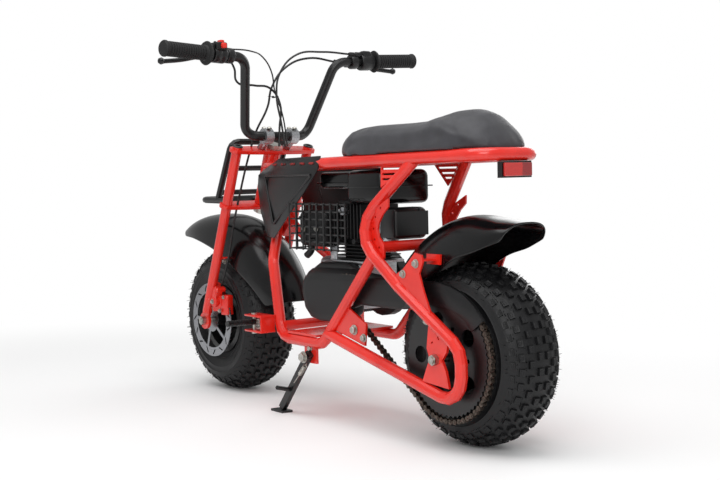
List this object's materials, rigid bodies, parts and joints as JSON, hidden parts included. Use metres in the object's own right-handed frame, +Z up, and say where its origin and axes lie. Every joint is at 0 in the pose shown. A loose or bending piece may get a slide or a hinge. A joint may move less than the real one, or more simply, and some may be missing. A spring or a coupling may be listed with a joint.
{
  "type": "mini dirt bike",
  "caption": "Small off-road motorcycle with a tube frame, fat knobby tyres, high handlebar and bench seat, leaning on its side stand.",
  "frame": {"origin": "on the ground under the middle of the whole bike's bounding box, as it leans on its side stand", "axes": "+X forward, +Y to the rider's left, +Z up"},
  "size_m": [1.2588, 0.7074, 0.8459],
  "materials": {
    "air_filter": "satin",
    "bar_clamp_left": "satin",
    "bar_clamp_right": "satin",
    "brake_lever_left": "satin",
    "brake_lever_right": "satin",
    "cradle_left": "gloss",
    "cradle_right": "gloss",
    "drive_chain": "satin",
    "drive_cover": "satin",
    "engine": "satin",
    "engine_plate": "gloss",
    "foot_peg_left": "gloss",
    "foot_peg_right": "gloss",
    "fork_left": "gloss",
    "fork_right": "gloss",
    "front_axle": "satin",
    "front_brake_disc": "satin",
    "front_caliper": "gloss",
    "front_cross_tube": "gloss",
    "front_fender": "gloss",
    "front_rack": "satin",
    "front_rim": "satin",
    "front_tyre": "matt",
    "fuel_tank": "gloss",
    "grip_left": "matt",
    "grip_right": "matt",
    "handlebar": "satin",
    "head_tube": "gloss",
    "lower_clamp": "gloss",
    "muffler": "satin",
    "muffler_cage": "satin",
    "neck_shield_left": "satin",
    "neck_shield_right": "satin",
    "rear_axle": "satin",
    "rear_brake_disc": "satin",
    "rear_caliper": "gloss",
    "rear_cross_tube": "gloss",
    "rear_fender": "gloss",
    "rear_rim": "satin",
    "rear_sprocket": "satin",
    "rear_tyre": "matt",
    "recoil_starter": "satin",
    "seat": "matt",
    "seat_rail": "gloss",
    "side_stand": "gloss",
    "side_tube_left": "gloss",
    "side_tube_right": "gloss",
    "steering_stem": "satin",
    "switch_block": "satin",
    "tail_lamp_housing": "satin",
    "tail_lamp_lens": "gloss",
    "throttle_housing": "satin",
    "upper_clamp": "gloss"
  },
  "bodies": {
    "frame": {"air_filter": "air_filter", "cradle_left": "cradle_left", "cradle_right": "cradle_right", "drive_chain": "drive_chain", "drive_cover": "drive_cover", "engine": "engine", "engine_plate": "engine_plate", "foot_peg_left": "foot_peg_left", "foot_peg_right": "foot_peg_right", "front_cross_tube": "front_cross_tube", "fuel_tank": "fuel_tank", "head_tube": "head_tube", "muffler": "muffler", "muffler_cage": "muffler_cage", "neck_shield_left": "neck_shield_left", "neck_shield_right": "neck_shield_right", "rear_axle": "rear_axle", "rear_caliper": "rear_caliper", "rear_cross_tube": "rear_cross_tube", "rear_fender": "rear_fender", "recoil_starter": "recoil_starter", "seat": "seat", "seat_rail": "seat_rail", "side_tube_left": "side_tube_left", "side_tube_right": "side_tube_right", "tail_lamp_housing": "tail_lamp_housing", "tail_lamp_lens": "tail_lamp_lens"},
    "steering": {"bar_clamp_left": "bar_clamp_left", "bar_clamp_right": "bar_clamp_right", "brake_lever_left": "brake_lever_left", "brake_lever_right": "brake_lever_right", "fork_left": "fork_left", "fork_right": "fork_right", "front_axle": "front_axle", "front_caliper": "front_caliper", "front_fender": "front_fender", "front_rack": "front_rack", "grip_left": "grip_left", "grip_right": "grip_right", "handlebar": "handlebar", "lower_clamp": "lower_clamp", "steering_stem": "steering_stem", "switch_block": "switch_block", "throttle_housing": "throttle_housing", "upper_clamp": "upper_clamp"},
    "front_wheel": {"front_brake_disc": "front_brake_disc", "front_rim": "front_rim", "front_tyre": "front_tyre"},
    "rear_wheel": {"rear_brake_disc": "rear_brake_disc", "rear_rim": "rear_rim", "rear_sprocket": "rear_sprocket", "rear_tyre": "rear_tyre"},
    "side_stand": {"side_stand": "side_stand"}
  },
  "joints": [
    {"name": "steering_turn", "type": "hinge", "parent": "frame", "child": "steering", "pos_m": [0.255, -0.00778, 0.60655], "axis": [-0.3755, 0.0356, 0.9261], "range_deg": [-38, 38]},
    {"name": "front_wheel_spin", "type": "hinge", "parent": "steering", "child": "front_wheel", "pos_m": [0.428, -0.02417, 0.17987], "axis": [0, 0.9993, -0.0384], "continuous": true},
    {"name": "rear_wheel_spin", "type": "hinge", "parent": "frame", "child": "rear_wheel", "pos_m": [-0.45, -0.02417, 0.17987], "axis": [0, 0.9993, -0.0384], "continuous": true},
    {"name": "side_stand_fold", "type": "hinge", "parent": "frame", "child": "side_stand", "pos_m": [-0.032, 0.08955, 0.13647], "axis": [0, 0.9993, -0.0384], "range_deg": [0, 115]}
  ]
}
